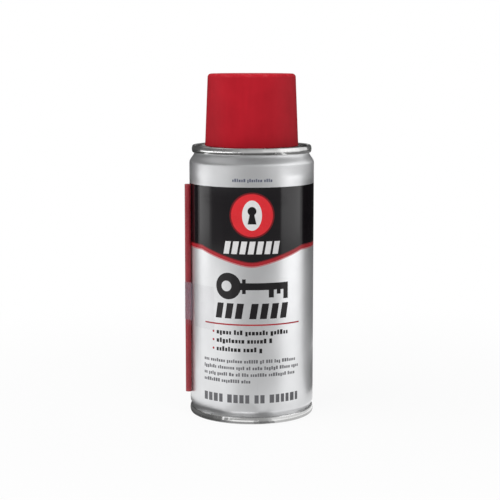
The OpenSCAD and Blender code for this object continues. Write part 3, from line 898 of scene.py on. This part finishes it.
def upright(start, end, *tiers):
    """Cards above each other on the drum: a top height and a grey, or None for a gap."""
    low = CARD_FOOT
    for high, grey in tiers:
        if grey is not None:
            yield start, end, (CARD_RADIUS, low), (CARD_RADIUS, high), grey
        low = high


def roof(start, end, grey):
    """A card that slopes up and in from the drum's top edge."""
    yield start, end, (CARD_RADIUS, ROOF), ROOF_INNER, grey


def under_seam(start, end, inner, level, slope, grey):
    """A dark card edge-on to the wall, which only the lower half of the upper seam mirrors:
    painted shade under the seam.
    """
    inner_edge = (inner, level - inner * slope)
    yield start, end, inner_edge, (UNDER_SEAM_REACH, level - UNDER_SEAM_REACH * slope), grey


def foot(start, end, reach, top, near, middle, far):
    """Cards that the seam at the foot mirrors: below, in front out to reach, and upright there.
    The one below is a painted shadow where the can meets the floor; the others paint the seam's
    dark lines and bright middle.
    """
    yield start, end, (WALL_RADIUS, GROUND), (SEAM_RADIUS, GROUND), near
    yield start, end, (SEAM_RADIUS, GROUND), (reach, GROUND), middle
    yield start, end, (reach, GROUND), (reach, top), far


def lying(start, end, inner, outer, grey):
    """A card flat on the ground, darker than the floor: a painted dark reflection of the floor in
    the metal.
    """
    yield start, end, (inner, GROUND), (outer, GROUND), grey


# Each card's last number is its glow: painted highlights above about 1, painted dark reflections
# below that.
CARDS = [
    *upright(-178.0, -108.0, (0.087, 0.05), (ROOM, 0.08), (ROOF, 0.4)),
    *upright(-108.0, -73.0, (BAND, None), (SHOULDER, 2.6),
             (NECK, 0.4), (ROOM, 0.15), (ROOF, 0.5)),
    *upright(-73.0, -50.0, (LABEL, 1.2), (BAND, 0.45), (SHOULDER, 3.0),
             (NECK, 0.5), (ROOM, 0.2), (ROOF, 0.5)),
    *upright(-50.0, -34.0, (LABEL, 1.05), (BAND, 0.4), (SHOULDER, 2.6),
             (NECK, 0.5), (ROOM, 0.25), (ROOF, 0.4)),
    *upright(-34.0, -20.0, (LABEL, 0.78), (BAND, 0.45), (SHOULDER, 1.5),
             (NECK, 0.5), (ROOM, 0.35), (ROOF, 0.2)),
    *upright(-20.0, -5.0, (LABEL, 0.55), (BAND, 0.47), (0.115, 0.56), (ROOM, 0.45), (ROOF, 0.15)),
    *upright(-5.0, 20.0, (SHOULDER, 0.46), (0.12, 0.58), (ROOM, 0.48), (ROOF, 0.12)),
    *upright(20.0, 51.0, (LABEL, 0.55), (SHOULDER, 0.42), (0.13, 0.87), (ROOM, 0.7), (ROOF, 0.15)),
    *upright(51.0, 99.0, (BAND, None), (SHOULDER, 0.7), (ROOM, 1.18), (ROOF, 0.3)),
    *upright(99.0, 124.0, (LABEL, 0.12), (BAND, 0.02), (0.087, 0.12), (ROOM, 0.9), (ROOF, 0.33)),
    *upright(124.0, 178.0, (LABEL, 0.1), (BAND, 0.02), (0.087, 0.1), (ROOM, 0.1), (ROOF, 0.2)),
    *roof(-112.0, -55.0, 0.5),
    *roof(-55.0, 55.0, 0.12),
    *roof(55.0, 112.0, 0.33),
    *under_seam(-178.0, -82.0, 0.03, 0.09, 0.0878, 0.06),
    *under_seam(-82.0, 52.0, 0.04, 0.0824, 0.1044, 0.1),
    *under_seam(52.0, 178.0, 0.03, 0.09, 0.0878, 0.2),
    *foot(-180.0, -42.0, 0.0255, 0.0044, 0.1, 0.1, 0.14),
    *foot(-42.0, -31.0, 0.0255, 0.0042, 0.12, 0.16, 0.2),
    *foot(-31.0, -26.0, 0.028, 0.004, 0.2, 0.4, 0.35),
    *foot(-26.0, -22.0, 0.031, 0.0045, 0.25, 0.75, 0.4),
    *foot(-22.0, 2.0, 0.033, 0.005, 0.35, 1.2, 0.45),
    *foot(2.0, 7.0, 0.03, 0.0045, 0.25, 0.7, 0.4),
    *foot(7.0, 17.0, 0.0262, 0.0036, 0.2, 0.28, 0.4),
    *foot(17.0, 22.0, 0.028, 0.004, 0.3, 0.6, 0.5),
    *foot(22.0, 180.0, 0.03, 0.0052, 0.6, 1.1, 0.8),
    *lying(-25.0, 45.0, 0.055, 0.125, 0.5),
    *lying(100.0, 170.0, 0.03, 0.12, 0.08),
]
CARD_STEPS = 24
CARDS_HIDE_FROM = ("camera", "diffuse", "transmission", "volume_scatter", "shadow")


def reflection_glow_cards():
    """Glowing cards round the can that only mirror reflections show: they light nothing and paint
    highlights and shade into the metal's reflections.

    Each is bent round the axis, from one azimuth to another (0 is the front, 90 the right)
    and between two edges (radius, height).
    """
    look = Look("reflection_glow_cards")
    grey_level = look.add("ShaderNodeAttribute", attribute_name="grey").outputs["Fac"]
    glow = look.shader("ShaderNodeEmission", Strength=grey_level)
    look.put(look.out.inputs["Surface"], glow)
    points, faces, greys = [], [], []
    for start, end, *edges, grey in CARDS:
        first = len(points)
        for k in range(CARD_STEPS + 1):
            a = math.radians(start + (end - start) * k / CARD_STEPS)
            for radius, height in edges:
                points.append((radius * math.sin(a), -radius * math.cos(a), height))
        for k in range(CARD_STEPS):
            faces.append(tuple(first + 2 * k + corner for corner in (0, 2, 3, 1)))
            greys.append(grey)
    obj = new_mesh("reflection_glow_cards", points, faces, [look.block])
    obj.data.attributes.new("grey", "FLOAT", "FACE").data.foreach_set("value", greys)
    for kind in CARDS_HIDE_FROM:
        setattr(obj, "visible_" + kind, False)


floor()
world(0.5)
softbox("key", -58.0, 57.0, 0.9, (0.6, 0.6), 2.4, visible_glossy=False)
softbox("fill", 10.0, 50.0, 0.2, (0.14, 0.14), 3.5, CAP_AIM, visible_glossy=False)
softbox("strip_right", 76.5, 4.0, 0.5, (0.42, 0.5), 1.22, visible_diffuse=False)
softbox("strip_left", -96.0, 4.0, 0.5, (0.24, 0.5), 1.15)
reflection_glow_cards()

bpy.context.scene.view_settings.view_transform = "Standard"
